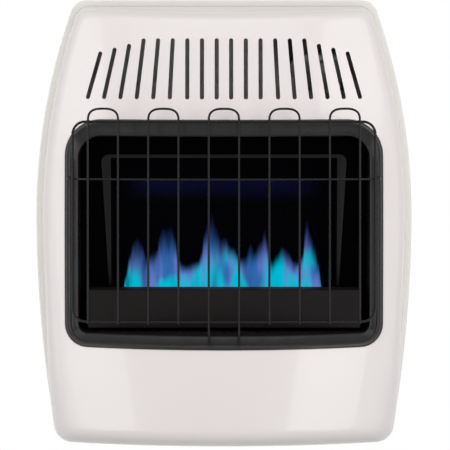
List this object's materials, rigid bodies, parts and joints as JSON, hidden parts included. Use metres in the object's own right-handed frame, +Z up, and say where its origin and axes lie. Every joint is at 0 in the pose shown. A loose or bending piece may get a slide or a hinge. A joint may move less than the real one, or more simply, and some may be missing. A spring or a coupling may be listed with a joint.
{
  "type": "wall mounted gas heater",
  "caption": "Wall mounted blue flame gas heater with a barrel shaped louvred cover, a glazed burner window, a wire guard, and a sunk control knob and piezo igniter on top.",
  "frame": {"origin": "centre of the wall bracket's flat rear face, on the wall plane", "axes": "+X to the viewer's right, +Z up, +Y into the wall, so the heater faces -Y"},
  "size_m": [0.594, 0.2556, 0.6927],
  "materials": {
    "white_enamel": "warm white satin powder coat",
    "black_enamel": "semi gloss black heat resistant enamel",
    "brown_enamel": "very dark brown matt enamel",
    "guard_wire": "black coated steel wire",
    "galvanised_steel": "zinc coated sheet steel",
    "stainless_steel": "plain stainless steel",
    "cast_aluminium": "die cast, as cast",
    "aluminium_tube": "drawn soft tube",
    "brass": "plain brass",
    "window_glass": "clear heat resisting glass ceramic",
    "ceramic": "glazed electrode insulator",
    "rubber": "soft black rubber",
    "black_plastic": "fine textured black thermoset"
  },
  "bodies": {
    "heater": {"side_support_left": "galvanised_steel", "side_support_right": "galvanised_steel", "burner_floor": "galvanised_steel", "heat_shield": "galvanised_steel", "window_panel": "black_enamel", "window_trim": "black_enamel", "glass_pane": "window_glass", "glass_clip_top_left": "stainless_steel", "glass_clip_bottom_left": "stainless_steel", "glass_clip_top_right": "stainless_steel", "glass_clip_bottom_right": "stainless_steel", "firebox": "black_enamel", "burner_shield": "brown_enamel", "air_deflector": "galvanised_steel", "front_cover": "white_enamel", "window_bezel": "black_enamel", "rear_casing": "white_enamel", "wall_bracket": "galvanised_steel", "wall_bumper_left": "rubber", "wall_bumper_right": "rubber", "cover_bracket_left": "galvanised_steel", "cover_bracket_right": "galvanised_steel", "cover_screw_left": "stainless_steel", "cover_screw_right": "stainless_steel", "guard_frame": "guard_wire", "guard_rail": "guard_wire", "guard_hairpin_1": "guard_wire", "guard_hairpin_2": "guard_wire", "guard_hairpin_3": "guard_wire", "guard_hairpin_4": "guard_wire", "guard_hairpin_5": "guard_wire", "burner_tube": "stainless_steel", "burner_cradle_left": "galvanised_steel", "burner_cradle_right": "galvanised_steel", "injector_block": "cast_aluminium", "gas_injector": "brass", "pilot_bracket": "stainless_steel", "pilot_burner": "stainless_steel", "spark_electrode": "ceramic", "thermocouple": "stainless_steel", "valve_bracket": "galvanised_steel", "gas_valve": "cast_aluminium", "valve_bonnet": "cast_aluminium", "control_well": "black_enamel", "piezo_igniter": "black_plastic", "igniter_nut": "stainless_steel", "inlet_fitting": "brass", "pressure_regulator": "cast_aluminium", "supply_tube": "aluminium_tube", "main_gas_tube": "aluminium_tube", "pilot_tube": "aluminium_tube", "thermocouple_lead": "brass", "ignition_lead": "black_plastic"},
    "push_rod": {"valve_push_rod": "stainless_steel"},
    "knob": {"valve_spindle": "stainless_steel", "control_knob": "black_plastic"},
    "button": {"igniter_button": "black_plastic"}
  },
  "joints": [
    {"name": "knob_push", "type": "slide", "parent": "heater", "child": "push_rod", "axis": [0, 0, -1], "range_m": [0, 0.006], "stiffness_N_per_m": 700, "springref_m": -0.004},
    {"name": "knob_turn", "type": "hinge", "parent": "push_rod", "child": "knob", "pos_m": [0.166, -0.042, 0.085], "axis": [0, 0, 1], "range_deg": [0, 240]},
    {"name": "igniter_press", "type": "slide", "parent": "heater", "child": "button", "axis": [0, 0, -1], "range_m": [0, 0.008], "stiffness_N_per_m": 1000, "springref_m": -0.004}
  ]
}
